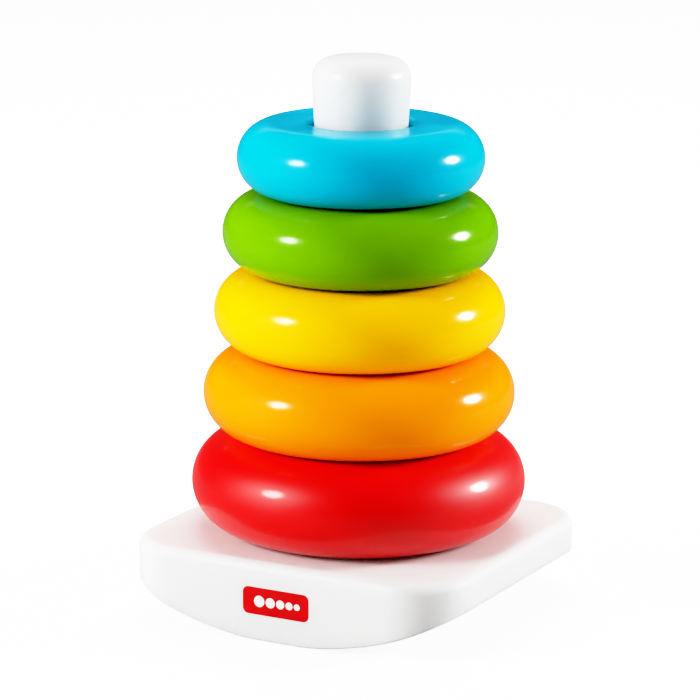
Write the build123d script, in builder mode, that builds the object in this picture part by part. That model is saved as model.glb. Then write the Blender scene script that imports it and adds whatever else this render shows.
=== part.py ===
from build123d import *
import math
import os

# Stacking ring toy: a rocking base, a tapered post and five hollow rings.
# Millimetres, +Z up. The origin is on the floor, under the middle of the base.
# The long curved wall with the label faces -Y, and the base rocks about Y.

os.makedirs("parts", exist_ok=True)

# ---------------------------------------------------------------- dimensions

# base shell
base_length = 145.8
base_width = 137.8
corner_radius = 24.5
deck_height = 31.9
top_edge_radius = 4.0
base_wall = 2.4
rim_wall = 1.3

# rocker underside: one large cylinder about Y, flattened where it stands
rocker_radius = 152.9
foot_drop = 0.48
bottom_plate = 2.4
bottom_gap = 0.1

# post
post_top = 223.9
post_foot_radius = 26.5
post_neck_radius = 18.55
post_neck_height = 190.0
post_head_radius = 19.6
post_head_height = 215.3
post_head_round = 7.8
post_wall = 2.0
spigot_radius = 23.5
spigot_gap = 0.1
bead_radius = 24.3
bead_height = 2.5

# label
label_length = 29.5
label_height = 11.2
label_thickness = 0.4
label_drop = 15.6
label_corner = 2.5

# rings, from the deck up: name, outer radius, half width and half height of the round
# outer part of the section, and bore radius; the section runs level from its crown to
# the rounded edge of a straight bore
rings = [
    ("red_ring", 67.5, 19.2, 19.2, 29.1),
    ("orange_ring", 62.8, 17.2, 17.0, 28.4),
    ("yellow_ring", 58.5, 16.4, 16.2, 25.7),
    ("green_ring", 55.2, 15.7, 15.6, 23.8),
    ("blue_ring", 49.5, 14.2, 14.3, 20.3),
]
ring_wall = 1.8
ring_gap = 0.2
bore_round = 0.31  # rounding between a ring's flat and its bore, as a share of half width

# ------------------------------------------------------------ derived numbers

rocker_centre = rocker_radius - foot_drop
reach = base_length


def rocker_height(x, lift):
    """Height of the rocker line, raised by lift, at a distance x from the middle."""
    r = rocker_radius - lift
    return rocker_centre - math.sqrt(r * r - x * x)


def foot_half(lift):
    """Half length of the flat standing strip, raised by lift."""
    r = rocker_radius - lift
    drop = rocker_centre - lift
    return math.sqrt(r * r - drop * drop)


def rocker_side(lift, top):
    """Side outline of everything above the rocker line, raised by lift."""
    half = foot_half(lift)
    out = 85.0
    mid = (half + out) / 2
    z_mid = rocker_height(mid, lift)
    z_out = rocker_height(out, lift)
    with BuildSketch(Plane.XZ) as side:
        with BuildLine():
            Line((-half, lift), (half, lift))
            ThreePointArc((half, lift), (mid, z_mid), (out, z_out))
            Line((out, z_out), (out, top))
            Line((out, top), (-out, top))
            Line((-out, top), (-out, z_out))
            ThreePointArc((-out, z_out), (-mid, z_mid), (-half, lift))
        make_face()
    return side.sketch


outer_side = rocker_side(0.0, deck_height + 5)
ledge_side = rocker_side(bottom_plate, deck_height + 5)

# ----------------------------------------------------------------- base shell

with BuildPart() as base_shell:
    # moulded block with a soft top edge
    with BuildSketch(Plane.XY):
        RectangleRounded(base_length, base_width, corner_radius)
    extrude(amount=deck_height)
    fillet(base_shell.faces().sort_by(Axis.Z)[-1].edges(), top_edge_radius)
    # hollow from below, with the same soft edge inside
    with BuildPart(mode=Mode.PRIVATE) as cavity:
        with BuildSketch(Plane.XY.offset(-5)):
            RectangleRounded(
                base_length - 2 * base_wall,
                base_width - 2 * base_wall,
                corner_radius - base_wall,
            )
        extrude(amount=deck_height - base_wall + 5)
        inner_top = cavity.faces().sort_by(Axis.Z)[-1]
        fillet(inner_top.edges(), top_edge_radius - base_wall)
    add(cavity.part, mode=Mode.SUBTRACT)
    # curved underside
    extrude(outer_side, amount=reach, both=True, mode=Mode.INTERSECT)

# ledge that the underside cover sits against
with BuildPart() as ledge_room:
    with BuildSketch(Plane.XY.offset(-5)):
        RectangleRounded(
            base_length - 2 * rim_wall,
            base_width - 2 * rim_wall,
            corner_radius - rim_wall,
        )
    extrude(amount=deck_height)
    extrude(ledge_side, amount=reach, both=True, mode=Mode.SUBTRACT)

with BuildPart() as base_shell_cut:
    add(base_shell.part)
    add(ledge_room.part, mode=Mode.SUBTRACT)
    # round hole in the deck for the post's spigot
    with Locations((0, 0, deck_height)):
        Cylinder(spigot_radius + spigot_gap, 4 * base_wall, mode=Mode.SUBTRACT)
    # shallow seat for the label in the front wall
    with BuildSketch(Plane.XZ.offset(base_width / 2 - label_thickness)):
        with Locations((0, deck_height - label_drop)):
            RectangleRounded(label_length, label_height, label_corner)
    extrude(amount=5, mode=Mode.SUBTRACT)

base_shell_cut.part.label = "base_shell"
export_step(base_shell_cut.part, "parts/base_shell.step")

# ---------------------------------------------------------------- base bottom

with BuildPart() as base_bottom:
    with BuildSketch(Plane.XY.offset(-5)):
        RectangleRounded(
            base_length - 2 * (rim_wall + bottom_gap),
            base_width - 2 * (rim_wall + bottom_gap),
            corner_radius - rim_wall - bottom_gap,
        )
    extrude(amount=deck_height)
    extrude(outer_side, amount=reach, both=True, mode=Mode.INTERSECT)
    extrude(ledge_side, amount=reach, both=True, mode=Mode.SUBTRACT)

base_bottom.part.label = "base_bottom"
export_step(base_bottom.part, "parts/base_bottom.step")

# ----------------------------------------------------------------------- post

dome_edge = post_head_radius - post_head_round
turn = math.radians(80)
turn_r = dome_edge + post_head_round * math.cos(turn)
turn_z = post_head_height + post_head_round * math.sin(turn)
diag = post_head_round * math.sqrt(0.5)

with BuildPart() as post:
    with BuildSketch(Plane.XZ):
        with BuildLine():
            # outside: spigot, shoulder, taper, flared head and domed top
            Polyline(
                (0, deck_height - base_wall - bead_height),
                (bead_radius - 0.8, deck_height - base_wall - bead_height),
                (bead_radius, deck_height - base_wall - bead_height / 2),
                (bead_radius - 0.6, deck_height - base_wall - 0.15),
                (spigot_radius, deck_height - base_wall - 0.15),
                (spigot_radius, deck_height),
                (post_foot_radius, deck_height),
                (post_neck_radius, post_neck_height),
            )
            Spline(
                (post_neck_radius, post_neck_height),
                (post_head_radius, post_head_height),
                tangents=[(-0.02, 1), (0, 1)],
            )
            ThreePointArc(
                (post_head_radius, post_head_height),
                (dome_edge + diag, post_head_height + diag),
                (turn_r, turn_z),
            )
            Spline(
                (turn_r, turn_z),
                (0, post_top),
                tangents=[(-math.sin(turn), math.cos(turn)), (-1, 0)],
            )
            Line((0, post_top), (0, deck_height - base_wall - bead_height))
        make_face()
    revolve(axis=Axis.Z)

post_low = deck_height - base_wall - bead_height
with BuildPart() as post_cut:
    add(post.part)
    # hollow inside, open underneath and closed at the head
    with BuildSketch(Plane.XZ):
        with BuildLine():
            Polyline(
                (0, post_low - 1),
                (spigot_radius - post_wall, post_low - 1),
                (spigot_radius - post_wall, deck_height + 3),
                (post_neck_radius - post_wall, post_neck_height),
                (post_head_radius - post_wall, post_head_height),
                (turn_r, turn_z - post_wall),
                (0, post_top - post_wall - 0.4),
                (0, post_low - 1),
            )
        make_face()
    revolve(axis=Axis.Z, mode=Mode.SUBTRACT)

post_cut.part.label = "post"
export_step(post_cut.part, "parts/post.step")

# ---------------------------------------------------------------------- label

with BuildPart() as label:
    with BuildSketch(Plane.XZ.offset(base_width / 2 - label_thickness)):
        with Locations((0, deck_height - label_drop)):
            RectangleRounded(
                label_length - 0.1,
                label_height - 0.1,
                label_corner - 0.05,
            )
    extrude(amount=label_thickness)

label.part.label = "front_label"
export_step(label.part, "parts/front_label.step")

# ---------------------------------------------------------------------- rings


def ring_section(bore, centre, level, half_wide, half_high, corner):
    """Section of a ring: straight bore, level flats and a half ellipse outside."""
    with BuildSketch(Plane.XZ) as section:
        with BuildLine():
            EllipticalCenterArc(
                (centre, level),
                half_wide,
                half_high,
                start_angle=-90,
                arc_size=180,
            )
            Polyline(
                (centre, level + half_high),
                (bore, level + half_high),
                (bore, level - half_high),
                (centre, level - half_high),
            )
        make_face()
        fillet(section.vertices().group_by(Axis.X)[0], corner)
    return section.sketch


level = deck_height
for name, outer, half_wide, half_high, bore in rings:
    level = level + ring_gap + half_high
    centre = outer - half_wide
    corner = bore_round * half_wide
    with BuildPart() as ring:
        add(ring_section(bore, centre, level, half_wide, half_high, corner))
        revolve(axis=Axis.Z)
        # one even wall all round a closed hollow
        add(
            ring_section(
                bore + ring_wall,
                centre,
                level,
                half_wide - ring_wall,
                half_high - ring_wall,
                corner - ring_wall,
            )
        )
        revolve(axis=Axis.Z, mode=Mode.SUBTRACT)
    ring.part.label = name
    export_step(ring.part, "parts/" + name + ".step")
    level = level + half_high
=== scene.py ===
import math

import bmesh
import bpy
from mathutils import Matrix, Vector, noise


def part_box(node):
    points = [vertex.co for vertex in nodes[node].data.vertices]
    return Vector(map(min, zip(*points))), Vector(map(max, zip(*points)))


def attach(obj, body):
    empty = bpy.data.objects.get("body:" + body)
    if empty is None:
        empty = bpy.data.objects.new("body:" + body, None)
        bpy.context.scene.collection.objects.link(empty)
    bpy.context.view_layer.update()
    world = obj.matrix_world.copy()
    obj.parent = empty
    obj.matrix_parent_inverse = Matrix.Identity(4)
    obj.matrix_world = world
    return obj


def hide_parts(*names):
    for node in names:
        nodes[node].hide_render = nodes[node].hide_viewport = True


# Stacking ring toy: its looks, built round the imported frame. Metres, +Z up along the
# post, and -Y out of the wall that carries the label.

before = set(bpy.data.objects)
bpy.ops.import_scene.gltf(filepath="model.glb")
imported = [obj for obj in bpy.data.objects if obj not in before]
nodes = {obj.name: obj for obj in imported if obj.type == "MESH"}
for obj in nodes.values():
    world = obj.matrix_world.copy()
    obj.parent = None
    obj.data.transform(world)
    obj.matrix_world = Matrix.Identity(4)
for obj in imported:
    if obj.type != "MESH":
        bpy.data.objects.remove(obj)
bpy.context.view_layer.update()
scene = bpy.context.scene

# ------------------------------------------------------------------ sizes
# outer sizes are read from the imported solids; the others are the CAD part's own,
# except where a comment says otherwise

MM = 0.001

# base shell
shell_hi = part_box("base_shell")[1]
HALF_X = shell_hi.x
HALF_Y = shell_hi.y
DECK = shell_hi.z
CORNER = 24.5 * MM
EDGE = 4.0 * MM
ROCK_R = 152.9 * MM
ROCK_DROP = 0.48 * MM
RIM = 1.3 * MM
GROOVE = 1.8 * MM  # height of the wall beside the underside cover, from below
WALL_ROUND = 0.9 * MM  # softness of the wall's lower edge
HOLE = 26.2 * MM  # edge of the deck, hidden under the post's foot

# post
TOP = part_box("post")[1].z
SPIGOT_R = 23.4 * MM
FOOT_R = 26.5 * MM
NECK_R = 18.55 * MM
NECK_Z = 190.0 * MM
HEAD_R = 19.6 * MM
HEAD_ROUND = 7.8 * MM
HEAD_DOME = 0.8 * MM

# label
label_lo, label_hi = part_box("front_label")
LABEL_X = (label_hi.x - label_lo.x) / 2
LABEL_Z = (label_hi.z - label_lo.z) / 2
LABEL_MID = (label_hi.z + label_lo.z) / 2
LABEL_CORNER = 2.45 * MM
FRONT = -HALF_Y
LABEL_PROUD = 0.10 * MM
DOTS_PROUD = 0.03 * MM
DOT_RADII = (2.3, 2.05, 1.8, 1.55, 1.3)  # mm, from left to right
DOT_START = -9.6 * MM
DOT_GAP = 0.6 * MM

# rings, from the deck up: half width of the section's round outer part, and bore, mm
RINGS = {
    "red_ring": (19.2, 29.1),
    "orange_ring": (17.2, 28.4),
    "yellow_ring": (16.4, 25.7),
    "green_ring": (15.7, 23.8),
    "blue_ring": (14.2, 20.3),
}
# rounding of the bore's edges, as a share of the half width; crisper than in CAD
BORE_ROUND = 0.18
RING_STEPS = 240
SKIN_SCALE = 28.0  # unevenness of a blown part's skin, per metre
SKIN_DEPTH = 0.06 * MM
MOULD_LINE = 0.12 * MM
MOULD_WIDTH = 0.6 * MM

# ----------------------------------------------------------------- finishes

# main colour, deeper colour of the flow in it, and added roughness
RING_COLOURS = {
    "red_ring": ((0.725, 0.0005, 0.002), (0.672, 0.0005, 0.001), 0.27),
    "orange_ring": ((1.0, 0.267, 0.0005), (0.98, 0.229, 0.0005), 0.0),
    "yellow_ring": ((1.0, 0.475, 0.0005), (0.98, 0.433, 0.0005), 0.0),
    "green_ring": ((0.146, 0.356, 0.0005), (0.115, 0.315, 0.0005), 0.0),
    "blue_ring": ((0.0005, 0.373, 0.559), (0.0005, 0.341, 0.522), 0.0),
}
RING_ROUGH = (0.14, 0.19)
RING_IOR = 1.42
WHITE_IOR = 1.45
GLOW_DEPTH = 0.012  # how far light spreads in the white plastic

# ------------------------------------------------------------------- studio

WORLD_FILL = 0.18  # surroundings as a light
WORLD_GLOSS = 0.07  # surroundings in reflections
WORLD_SEEN = 2.6  # surroundings as the camera sees them
FLOOR_LIFT = 1.3  # makes the floor as white as its surroundings to the camera
SOFTBOX_SIZE = 0.43
FILL_SIZE = 1.6
LIGHT_AIM = Vector((0, 0, 0.11))


# -------------------------------------------------------------- mesh tools


def new_object(name, bm):
    """A smooth-shaded object from a bmesh, with its faces turned outwards."""
    mesh = bpy.data.meshes.new(name)
    bmesh.ops.recalc_face_normals(bm, faces=bm.faces)
    bm.to_mesh(mesh)
    bm.free()
    for p in mesh.polygons:
        p.use_smooth = True
    obj = bpy.data.objects.new(name, mesh)
    scene.collection.objects.link(obj)
    return obj


def bridge(bm, rows):
    """Quads between neighbouring rows of vertices; each row is a closed loop."""
    n = len(rows[0])
    for a, b in zip(rows, rows[1:]):
        for i in range(n):
            j = (i + 1) % n
            bm.faces.new((a[i], a[j], b[j], b[i]))


def circle(r, steps):
    """Points round a circle about the origin."""
    turns = [2 * math.pi * k / steps for k in range(steps)]
    return [(r * math.cos(a), r * math.sin(a)) for a in turns]


def lathe(name, profile, steps):
    """Turns a list of (radius, height) round Z, with a flat cap at its start. Its
    last point is on the axis and makes a pole."""
    bm = bmesh.new()
    rows = [[bm.verts.new((x, y, z)) for x, y in circle(r, steps)] for r, z in profile[:-1]]
    bridge(bm, rows)
    pole = bm.verts.new((0, 0, profile[-1][1]))
    last = rows[-1]
    for k in range(steps):
        bm.faces.new((last[k], last[(k + 1) % steps], pole))
    bm.faces.new(list(reversed(rows[0])))
    return new_object(name, bm)


def arc(cx, cz, r, a0, a1, n):
    """Points along an arc, from a0 to a1 degrees."""
    out = []
    for k in range(n + 1):
        a = math.radians(a0 + (a1 - a0) * k / n)
        out.append((cx + r * math.cos(a), cz + r * math.sin(a)))
    return out


# --------------------------------------------------------------- materials


class Tree:
    """Small helper round a material's node tree."""

    def __init__(self, name):
        self.mat = bpy.data.materials.new(name)
        self.mat.use_nodes = True
        self.nt = self.mat.node_tree
        self.bsdf = self.nt.nodes["Principled BSDF"]
        self.coord = self.nt.nodes.new("ShaderNodeTexCoord").outputs["Object"]

    def link(self, a, b):
        self.nt.links.new(a, b)

    def noise(self, scale, detail, rough, stretch=None):
        """Noise in the object's own space; stretch is a scale of 3 numbers, with or
        without a rotation of 3 more."""
        n = self.nt.nodes.new("ShaderNodeTexNoise")
        n.inputs["Scale"].default_value = scale
        n.inputs["Detail"].default_value = detail
        n.inputs["Roughness"].default_value = rough
        if stretch is None:
            self.link(self.coord, n.inputs["Vector"])
        else:
            m = self.nt.nodes.new("ShaderNodeMapping")
            m.inputs["Scale"].default_value = stretch[:3]
            if len(stretch) > 3:
                m.inputs["Rotation"].default_value = stretch[3:6]
            self.link(self.coord, m.inputs["Vector"])
            self.link(m.outputs["Vector"], n.inputs["Vector"])
        return n.outputs["Fac"]

    def ramp(self, fac, stops):
        """Colour from a factor, by a list of (position, colour)."""
        r = self.nt.nodes.new("ShaderNodeValToRGB")
        el = r.color_ramp.elements
        el[0].position, el[0].color = stops[0][0], stops[0][1]
        el[1].position, el[1].color = stops[-1][0], stops[-1][1]
        for p, c in stops[1:-1]:
            e = el.new(p)
            e.color = c
        self.link(fac, r.inputs["Fac"])
        return r.outputs["Color"]

    def math(self, op, a, b=0.0, clamp=False):
        """A math node of sockets, or of a socket and a number."""
        m = self.nt.nodes.new("ShaderNodeMath")
        m.operation = op
        m.use_clamp = clamp
        for k, v in enumerate((a, b)):
            if isinstance(v, float):
                m.inputs[k].default_value = v
            else:
                self.link(v, m.inputs[k])
        return m.outputs[0]

    def remap(self, v, lo, hi, to_lo, to_hi):
        """Carries lo to hi over to to_lo to to_hi, clamped."""
        m = self.nt.nodes.new("ShaderNodeMapRange")
        m.inputs["From Min"].default_value = lo
        m.inputs["From Max"].default_value = hi
        m.inputs["To Min"].default_value = to_lo
        m.inputs["To Max"].default_value = to_hi
        self.link(v, m.inputs["Value"])
        return m.outputs["Result"]

    def axis(self, which):
        s = self.nt.nodes.new("ShaderNodeSeparateXYZ")
        self.link(self.coord, s.inputs["Vector"])
        return s.outputs[which]

    def mix(self, fac, a, b):
        m = self.nt.nodes.new("ShaderNodeMix")
        m.data_type = "RGBA"
        self.link(fac, m.inputs["Factor"])
        for key, v in ((6, a), (7, b)):
            if isinstance(v, tuple):
                m.inputs[key].default_value = v
            else:
                self.link(v, m.inputs[key])
        return m.outputs[2]

    def bump(self, height, strength, distance, normal=None):
        b = self.nt.nodes.new("ShaderNodeBump")
        b.inputs["Strength"].default_value = strength
        b.inputs["Distance"].default_value = distance
        self.link(height, b.inputs["Height"])
        if normal is not None:
            self.link(normal, b.inputs["Normal"])
        return b.outputs["Normal"]


def rgba(c, k=1.0):
    """A colour, made k times as bright, with its alpha."""
    return (min(c[0] * k, 1.0), min(c[1] * k, 1.0), min(c[2] * k, 1.0), 1.0)


def ring_plastic(name, main, deep, level, half_high, haze):
    """Glossy blow-moulded plastic: even colour with a faint flow in it, a fine
    skin texture, and dulled contact bands above and below where rings rub. haze
    roughens it under a thin clear coat."""
    t = Tree(name)
    flow = t.noise(14.0, 4.0, 0.55, (1.0, 1.0, 2.4))
    stops = [(0.30, rgba(deep)), (0.62, rgba(main)), (0.80, rgba(main, 1.03))]
    colour = t.ramp(flow, stops)
    specks = t.noise(900.0, 2.0, 0.5)
    dust = t.remap(specks, 0.66, 0.74, 0.0, 0.10)
    colour = t.mix(dust, colour, rgba(main, 1.12))
    t.link(colour, t.bsdf.inputs["Base Color"])
    # contact bands: distance from the ring's middle height
    z = t.math("SUBTRACT", t.axis("Z"), level)
    far = t.math("ABSOLUTE", z)
    band = t.remap(far, half_high * 0.86, half_high * 1.0, 0.0, 1.0)
    patches = t.noise(60.0, 5.0, 0.6)
    worn = t.math("MULTIPLY", band, t.remap(patches, 0.42, 0.62, 0.15, 1.0), True)
    cloud = t.noise(28.0, 5.0, 0.6)
    rough = t.remap(cloud, 0.30, 0.75, RING_ROUGH[0] + haze, RING_ROUGH[1] + haze)
    hair = t.noise(160.0, 2.0, 0.6, (1.0, 1.0, 12.0, 0.35, 0.2, 0.0))
    marks = t.remap(hair, 0.64, 0.72, 0.0, 0.05)
    rough = t.math("ADD", rough, marks)
    rough = t.math("ADD", rough, t.math("MULTIPLY", worn, 0.06), True)
    t.link(rough, t.bsdf.inputs["Roughness"])
    skin = t.noise(420.0, 2.0, 0.5)
    wave = t.noise(45.0, 1.0, 0.5)
    n = t.bump(wave, 0.10, 0.0006)
    n = t.bump(skin, 0.05, 0.00008, n)
    n = t.bump(hair, 0.03, 0.00006, n)
    t.link(n, t.bsdf.inputs["Normal"])
    t.bsdf.inputs["IOR"].default_value = RING_IOR
    t.bsdf.inputs["Specular IOR Level"].default_value = 0.32
    if haze > 0:
        t.bsdf.inputs["Specular IOR Level"].default_value = 0.65
        t.bsdf.inputs["Coat Weight"].default_value = 0.36
        t.bsdf.inputs["Coat Roughness"].default_value = 0.11
        t.bsdf.inputs["Coat IOR"].default_value = RING_IOR
        t.bsdf.inputs["Sheen Weight"].default_value = 0.05
        t.bsdf.inputs["Sheen Roughness"].default_value = 0.45
    return t.mat


def white_plastic(name, main, deep, rough_lo, rough_hi, grime_top, glow=0.0):
    """White moulded plastic: faint mottling, fine skin, and dull marks below the
    height grime_top. glow is its share of light that spreads under the surface."""
    t = Tree(name)
    flow = t.noise(11.0, 4.0, 0.5)
    colour = t.ramp(flow, [(0.30, rgba(deep)), (0.70, rgba(main))])
    low = t.remap(t.axis("Z"), 0.0, grime_top, 1.0, 0.0)
    spots = t.noise(95.0, 6.0, 0.65)
    scuff = t.math("MULTIPLY", low, t.remap(spots, 0.52, 0.66, 0.0, 0.5), True)
    dirty = (deep[0] * 0.80, deep[1] * 0.79, deep[2] * 0.77)
    colour = t.mix(scuff, colour, rgba(dirty))
    t.link(colour, t.bsdf.inputs["Base Color"])
    cloud = t.noise(24.0, 5.0, 0.6)
    rough = t.remap(cloud, 0.30, 0.72, rough_lo, rough_hi)
    hair = t.noise(140.0, 2.0, 0.6, (1.0, 9.0, 1.0, 0.0, 0.5, 0.2))
    marks = t.remap(hair, 0.62, 0.72, 0.0, 0.06)
    rough = t.math("ADD", rough, marks)
    rough = t.math("ADD", rough, t.math("MULTIPLY", scuff, 0.3), True)
    t.link(rough, t.bsdf.inputs["Roughness"])
    skin = t.noise(650.0, 2.0, 0.5)
    wave = t.noise(38.0, 1.0, 0.5)
    n = t.bump(wave, 0.10, 0.0007)
    n = t.bump(skin, 0.08, 0.00008, n)
    t.link(n, t.bsdf.inputs["Normal"])
    t.bsdf.inputs["IOR"].default_value = WHITE_IOR
    t.bsdf.subsurface_method = "BURLEY"
    t.bsdf.inputs["Subsurface Weight"].default_value = glow
    t.bsdf.inputs["Subsurface Radius"].default_value = (1.0, 1.0, 1.0)
    t.bsdf.inputs["Subsurface Scale"].default_value = GLOW_DEPTH
    return t.mat


# ------------------------------------------------------------------- rings


def ring_section(centre, bore, half_wide, half_high):
    """Points round a ring's section, from the widest point over the top to the
    bore and back under: (radius, height from the middle, normal)."""
    outer_n, flat_n, corner_n, bore_n = 30, 9, 12, 15
    corner = BORE_ROUND * half_wide
    flat = centre - bore - corner
    upper = []
    for k in range(outer_n):
        t = math.radians(90 * k / outer_n)
        n = Vector((math.cos(t) / half_wide, math.sin(t) / half_high)).normalized()
        upper.append((centre + half_wide * math.cos(t), half_high * math.sin(t), n))
    for k in range(flat_n):
        upper.append((centre - flat * k / flat_n, half_high, Vector((0, 1))))
    for k in range(corner_n + 1):
        t = math.radians(90 + 90 * k / corner_n)
        n = Vector((math.cos(t), math.sin(t)))
        point = (bore + corner + corner * n.x, half_high - corner + corner * n.y, n)
        upper.append(point)
    straight = half_high - corner
    for k in range(1, bore_n):
        upper.append((bore, straight * (1 - k / bore_n), Vector((-1, 0))))
    middle = (bore, 0.0, Vector((-1, 0)))
    lower = [(r, -z, Vector((n.x, -n.y))) for r, z, n in reversed(upper[1:])]
    return upper + [middle] + lower


def make_ring(node, number):
    lo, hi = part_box(node)
    level = (lo.z + hi.z) / 2
    half_high = (hi.z - lo.z) / 2
    half_wide, bore = (v * MM for v in RINGS[node])
    section = ring_section(hi.x - half_wide, bore, half_wide, half_high)
    seed = Vector((number * 3.7, 1.3, 0.4))
    bm = bmesh.new()
    rows = []
    for cx, cy in circle(1.0, RING_STEPS):
        row = []
        for r, z, n in section:
            # the skin of a blown part is never quite true; it only dips inwards
            p = Vector((cx * r, cy * r, z)) * SKIN_SCALE + seed
            off = (noise.noise(p) - 1.0) * SKIN_DEPTH
            if n.x == -1:
                # moulding line round the bore
                off += MOULD_LINE * math.exp(-((z / MOULD_WIDTH) ** 2))
            r += n.x * off
            z += n.y * off
            row.append(bm.verts.new((r * cx, r * cy, level + z)))
        rows.append(row)
    rows.append(rows[0])
    bridge(bm, rows)
    obj = new_object(node.replace("_ring", "_ring_body"), bm)
    main, deep, haze = RING_COLOURS[node]
    obj.data.materials.append(
        ring_plastic(node + "_plastic", main, deep, level, half_high, haze)
    )
    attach(obj, node)
    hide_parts(node)


for number, ring in enumerate(RINGS):
    make_ring(ring, number)

# -------------------------------------------------------------------- base


def rocker(x):
    """Height of the underside at a distance x from the middle."""
    z = ROCK_R - ROCK_DROP - math.sqrt(ROCK_R**2 - x * x)
    return max(z, 0.0)


def plan(inset, per_corner=20, per_side=26):
    """Points round the rounded square of the base, drawn inwards by inset."""
    out = []
    a, b, r = HALF_X - CORNER, HALF_Y - CORNER, CORNER - inset
    corners = [(1, 1, 0), (-1, 1, 90), (-1, -1, 180), (1, -1, 270)]
    for n, (sx, sy, start) in enumerate(corners):
        for k in range(per_corner + 1):
            t = math.radians(start + 90 * k / per_corner)
            out.append((sx * a + r * math.cos(t), sy * b + r * math.sin(t)))
        # along the side to the next corner
        nx, ny, nstart = corners[(n + 1) % 4]
        t0, t1 = math.radians(start + 90), math.radians(nstart)
        p = Vector((sx * a + r * math.cos(t0), sy * b + r * math.sin(t0)))
        q = Vector((nx * a + r * math.cos(t1), ny * b + r * math.sin(t1)))
        for k in range(1, per_side):
            out.append(tuple(p.lerp(q, k / per_side)))
    return out


def make_base():
    """Deck, soft top edge, walls down to the rocker line, and the rim below."""
    deck_n, edge_n, wall_n, round_n = 12, 10, 8, 5
    bm = bmesh.new()
    rows = []

    def row(points, height):
        rows.append([bm.verts.new((x, y, height(x, y))) for x, y in points])

    flat = plan(EDGE + 1.5 * MM)
    # deck: from the post's hole out to the soft edge
    for k in range(deck_n + 1):
        t = k / deck_n
        pts = []
        for x, y in flat:
            d = math.hypot(x, y)
            hx, hy = x / d * HOLE, y / d * HOLE
            pts.append((hx + (x - hx) * t, hy + (y - hy) * t))
        if k == 0:
            # the hole's edge turns down
            row(pts, lambda x, y: DECK - 1.2 * MM)
            row(pts, lambda x, y: DECK - 0.25 * MM)
            pts = [(x * 1.01, y * 1.01) for x, y in pts]
        row(pts, lambda x, y: DECK)
    # soft top edge
    for k in range(edge_n + 1):
        t = math.radians(90 * k / edge_n)
        row(
            plan(EDGE * (1 - math.sin(t))),
            lambda x, y, c=math.cos(t): DECK - EDGE * (1 - c),
        )
    # wall down to the rocker line
    top = DECK - EDGE
    for k in range(1, wall_n + 1):
        t = k / wall_n
        row(plan(0.0), lambda x, y, t=t: top + (rocker(x) + WALL_ROUND - top) * t)
    for k in range(1, round_n + 1):
        u = math.radians(90 * k / round_n)
        row(
            plan(WALL_ROUND * (1 - math.cos(u))),
            lambda x, y, s=math.sin(u): rocker(x) + WALL_ROUND * (1 - s),
        )
    # rim and the groove beside the underside cover
    row(plan(RIM - 0.05 * MM), lambda x, y: rocker(x))
    row(plan(RIM), lambda x, y: rocker(x) + 0.1 * MM)
    row(plan(RIM), lambda x, y: rocker(x) + GROOVE)
    bridge(bm, rows)
    return new_object("base_body", bm)


base = make_base()
base.data.materials.append(
    white_plastic(
        "base_plastic",
        main=(0.71, 0.71, 0.706),
        deep=(0.692, 0.690, 0.685),
        rough_lo=0.42,
        rough_hi=0.52,
        grime_top=0.010,
        glow=0.4,
    )
)
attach(base, "stand")
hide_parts("base_shell")

# the underside cover is the CAD node itself
under_white = white_plastic(
    "underside_plastic",
    main=(0.85, 0.85, 0.845),
    deep=(0.82, 0.82, 0.81),
    rough_lo=0.34,
    rough_hi=0.46,
    grime_top=0.004,
)
for slot in nodes["base_bottom"].material_slots:
    slot.material = under_white

# -------------------------------------------------------------------- post


def make_post():
    """Lathe: spigot, taper, flare into the head, rounded shoulder, shallow dome."""
    taper_n, flare_n, dome_n, steps = 60, 16, 12, 160
    seat = DECK + 0.02 * MM
    prof = [(SPIGOT_R, DECK - 1.0 * MM), (SPIGOT_R, seat)]
    prof += [(FOOT_R - 0.5 * MM, seat), (FOOT_R - 0.08 * MM, DECK + 0.2 * MM)]
    z0 = DECK + 0.8 * MM
    for k in range(taper_n + 1):
        z = z0 + (NECK_Z - z0) * k / taper_n
        prof.append((FOOT_R + (NECK_R - FOOT_R) * (z - DECK) / (NECK_Z - DECK), z))
    head_z = TOP - HEAD_DOME - HEAD_ROUND
    for k in range(1, flare_n + 1):
        t = k / flare_n
        h = t * t * (3 - 2 * t)
        prof.append((NECK_R + (HEAD_R - NECK_R) * h, NECK_Z + (head_z - NECK_Z) * t))
    prof += arc(HEAD_R - HEAD_ROUND, head_z, HEAD_ROUND, 5, 80, 15)
    edge_r, edge_z = prof[-1]
    for k in range(1, dome_n + 1):
        t = k / dome_n
        prof.append((edge_r * (1 - t), edge_z + (TOP - edge_z) * (1 - (1 - t) ** 2)))
    return lathe("post_body", prof, steps)


post = make_post()
post.data.materials.append(
    white_plastic(
        "post_plastic",
        main=(0.69, 0.69, 0.69),
        deep=(0.67, 0.67, 0.672),
        rough_lo=0.27,
        rough_hi=0.34,
        grime_top=0.030,
        glow=0.4,
    )
)
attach(post, "stand")
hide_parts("post")

# ------------------------------------------------------------------- label
# a plain red film in the front wall, with five dots of falling size: no lettering


def rounded(hx, hz, r, n=10):
    """Points round a rectangle with round corners, of half sizes hx and hz."""
    out = []
    for sx, sz, start in ((1, 1, 0), (-1, 1, 90), (-1, -1, 180), (1, -1, 270)):
        out += arc(sx * (hx - r), sz * (hz - r), r, start, start + 90, n)
    return out


def plate(bm, loops):
    """A closed plate facing -Y from outline loops [(points, y)], from the back on."""
    rows = [[bm.verts.new((x, y, LABEL_MID + z)) for x, z in pts] for pts, y in loops]
    bridge(bm, rows)
    bm.faces.new(rows[-1])
    bm.faces.new(list(reversed(rows[0])))


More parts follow.
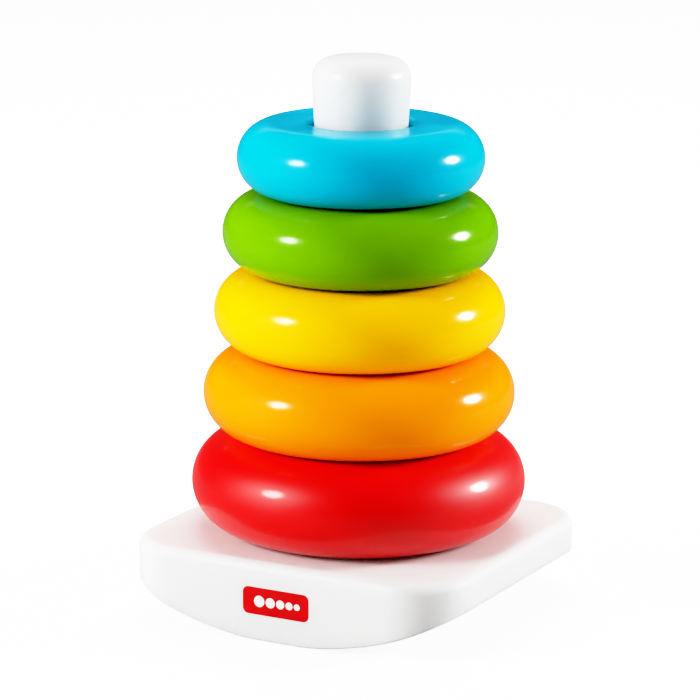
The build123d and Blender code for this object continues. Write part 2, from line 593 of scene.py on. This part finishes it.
def print_film(name, main, deep, rough):
    """Printed film: fine dots in an even colour, and a little unevenness."""
    t = Tree(name)
    flow = t.noise(120.0, 4.0, 0.6)
    colour = t.ramp(flow, [(0.3, rgba(deep)), (0.7, rgba(main))])
    dots = t.remap(t.noise(2600.0, 1.0, 0.5), 0.60, 0.70, 0.0, 0.12)
    colour = t.mix(dots, colour, rgba(main, 1.15))
    t.link(colour, t.bsdf.inputs["Base Color"])
    cloud = t.noise(200.0, 4.0, 0.6)
    t.link(t.remap(cloud, 0.3, 0.7, rough, rough + 0.12), t.bsdf.inputs["Roughness"])
    skin = t.noise(700.0, 2.0, 0.5)
    t.link(t.bump(skin, 0.06, 0.00006), t.bsdf.inputs["Normal"])
    t.bsdf.inputs["IOR"].default_value = 1.48
    return t.mat


def make_label():
    bevel = 0.06 * MM
    outline = rounded(LABEL_X, LABEL_Z, LABEL_CORNER)
    face = rounded(LABEL_X - bevel, LABEL_Z - bevel, LABEL_CORNER - 0.05 * MM)
    bm = bmesh.new()
    plate(
        bm,
        [
            (outline, FRONT + 0.2 * MM),
            (outline, FRONT - LABEL_PROUD * 0.4),
            (face, FRONT - LABEL_PROUD),
        ],
    )
    obj = new_object("label_film", bm)
    for p in obj.data.polygons:
        p.use_smooth = len(p.vertices) == 4
    return obj


def make_print():
    bm = bmesh.new()
    back = FRONT - LABEL_PROUD
    x = DOT_START
    for size in DOT_RADII:
        r = size * MM
        x += r
        disc = [(x + dx, dz) for dx, dz in circle(r, 40)]
        plate(bm, [(disc, back), (disc, back - DOTS_PROUD)])
        x += r + DOT_GAP
    obj = new_object("label_print", bm)
    for p in obj.data.polygons:
        p.use_smooth = False
    return obj


label = make_label()
label.data.materials.append(
    print_film("label_red_film", (0.56, 0.004, 0.006), (0.47, 0.003, 0.005), 0.34)
)
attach(label, "stand")
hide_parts("front_label")

dots = make_print()
dots.data.materials.append(
    print_film("label_white_print", (0.86, 0.83, 0.80), (0.80, 0.77, 0.74), 0.38)
)
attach(dots, "stand")

# ------------------------------------------------------------ camera, stage

# camera: its angles and distance round the toy, and the point it looks at
TURN = math.radians(27.9)
RISE = math.radians(13.476)
ROLL = math.radians(0.414)
DIST = 1.500
AIM_Z = 104.26 * MM
SIDE = 3.82 * MM
FRAME = 700  # width of the picture
FOCAL = 3730.8  # focal length in the picture's own units
SENSOR = 36


def from_camera_frame(x, y, z):
    """Camera frame (x right, y away) to the row's frame, about the post's axis."""
    c, s = math.cos(TURN), math.sin(TURN)
    return Vector((x * c - y * s, x * s + y * c, z))


cam_data = bpy.data.cameras.new("camera")
cam_data.lens = SENSOR * FOCAL / FRAME
cam_data.sensor_width = SENSOR
cam_data.clip_start = 0.05
cam_data.clip_end = 60
cam = bpy.data.objects.new("camera", cam_data)
scene.collection.objects.link(cam)
aim = from_camera_frame(-SIDE, 0.0, AIM_Z)
eye = from_camera_frame(-SIDE, -DIST * math.cos(RISE), AIM_Z + DIST * math.sin(RISE))
cam.location = eye
look = (aim - eye).to_track_quat("-Z", "Y").to_matrix().to_4x4()
cam.matrix_world = Matrix.Translation(eye) @ look @ Matrix.Rotation(ROLL, 4, "Z")
scene.camera = cam


def softbox(name, direction, distance, width, height, power):
    """An elliptical area light in the camera's frame, turned towards the toy."""
    data = bpy.data.lights.new(name, "AREA")
    data.shape = "ELLIPSE"
    data.size = width
    data.size_y = height
    data.energy = power
    obj = bpy.data.objects.new(name, data)
    scene.collection.objects.link(obj)
    d = from_camera_frame(*direction).normalized()
    obj.location = LIGHT_AIM + d * distance
    obj.rotation_mode = "QUATERNION"
    obj.rotation_quaternion = (-d).to_track_quat("-Z", "Y")
    return obj


# two small softboxes, which make the highlights
for name, direction, power in (
    ("softbox_left", (-0.80, -0.38, 0.42), 23.5),
    ("softbox_right", (0.94, 0.09, 0.33), 38.0),
):
    softbox(name, direction, 1.7, SOFTBOX_SIZE, SOFTBOX_SIZE, power)
# large soft fills from both sides and from above behind, kept out of the reflections
for name, direction, distance, power in (
    ("fill_left", (-0.95, -0.25, 0.20), 1.7, 39.5),
    ("fill_right", (0.95, 0.0, 0.20), 1.7, 14.4),
    ("fill_high", (0.0, 0.6, 0.9), 2.0, 46.0),
):
    fill_light = softbox(name, direction, distance, FILL_SIZE, FILL_SIZE, power)
    fill_light.visible_glossy = False
# low strip behind, which draws the pale line on the crown of the top ring
softbox("strip_behind", (0.0, 0.91, 0.42), 1.6, 1.5, 0.14, 0.5)


def make_floor():
    """A wide pale disc. It is darker in reflections, so that it draws no band on the
    gloss, and as white as its surroundings to the camera."""
    steps = 96
    bm = bmesh.new()
    middle = bm.verts.new((0, 0, 0))
    rows = []
    for r in (0.2, 0.4, 0.8, 1.6, 3.2, 6.4, 12.0):
        rows.append([bm.verts.new((x, y, 0)) for x, y in circle(r, steps)])
    for k in range(steps):
        bm.faces.new((middle, rows[0][k], rows[0][(k + 1) % steps]))
    bridge(bm, rows)
    obj = new_object("floor", bm)
    t = Tree("floor_paper")
    rays = t.nt.nodes.new("ShaderNodeLightPath").outputs
    greys = [(0.3, (0.45, 0.45, 0.45, 1)), (0.7, (0.465, 0.465, 0.465, 1))]
    grain = t.ramp(t.noise(30.0, 3.0, 0.5), greys)
    colour = t.mix(rays["Is Glossy Ray"], grain, (0.13, 0.13, 0.13, 1))
    t.link(colour, t.bsdf.inputs["Base Color"])
    t.bsdf.inputs["Roughness"].default_value = 0.9
    t.bsdf.inputs["Specular IOR Level"].default_value = 0.1
    t.bsdf.inputs["Emission Color"].default_value = (1, 1, 1, 1)
    lift = t.math("MULTIPLY", rays["Is Camera Ray"], FLOOR_LIFT)
    t.link(lift, t.bsdf.inputs["Emission Strength"])
    obj.data.materials.append(t.mat)
    return obj


floor = make_floor()

# plain white surroundings: white to the eye, softer as a light
world = bpy.data.worlds.new("studio")
scene.world = world
world.use_nodes = True
wn = world.node_tree
back = wn.nodes["Background"]
path = wn.nodes.new("ShaderNodeLightPath")


def world_pick(fac, low, high):
    """low where fac is 0 and high where it is 1; each a number or a socket."""
    pick = wn.nodes.new("ShaderNodeMapRange")
    for key, value in (("To Min", low), ("To Max", high)):
        if isinstance(value, float):
            pick.inputs[key].default_value = value
        else:
            wn.links.new(value, pick.inputs[key])
    wn.links.new(fac, pick.inputs["Value"])
    return pick.outputs["Result"]


fill = world_pick(path.outputs["Is Glossy Ray"], WORLD_FILL, WORLD_GLOSS)
seen = world_pick(path.outputs["Is Camera Ray"], fill, WORLD_SEEN)
wn.links.new(seen, back.inputs["Strength"])
back.inputs["Color"].default_value = (1, 1, 1, 1)

# the camera's response, from light to film: a toe that clears the deep colours, an
# almost straight middle, and a soft shoulder, so that the whites keep their shading
FILM_WHITE = 2.5  # the light that is pure white on the film
FILM = [
    (0.0, 0.0),
    (0.02, 0.001),
    (0.05, 0.013),
    (0.08, 0.040),
    (0.12, 0.082),
    (0.20, 0.162),
    (0.40, 0.385),
    (0.60, 0.600),
    (0.80, 0.750),
    (1.00, 0.840),
    (1.30, 0.920),
    (1.60, 0.962),
    (2.00, 0.990),
    (2.50, 1.000),
]
view = scene.view_settings
view.view_transform = "Standard"
view.look = "None"
view.exposure = 0.0
view.gamma = 1.0
view.use_curve_mapping = True
view.curve_mapping.white_level = (FILM_WHITE, FILM_WHITE, FILM_WHITE)
curve = view.curve_mapping.curves[3]  # the one for all three colours
curve.points[0].location = (0.0, 0.0)
curve.points[-1].location = (1.0, 1.0)
for x, y in FILM[1:-1]:
    curve.points.new(x / FILM_WHITE, y)
view.curve_mapping.update()
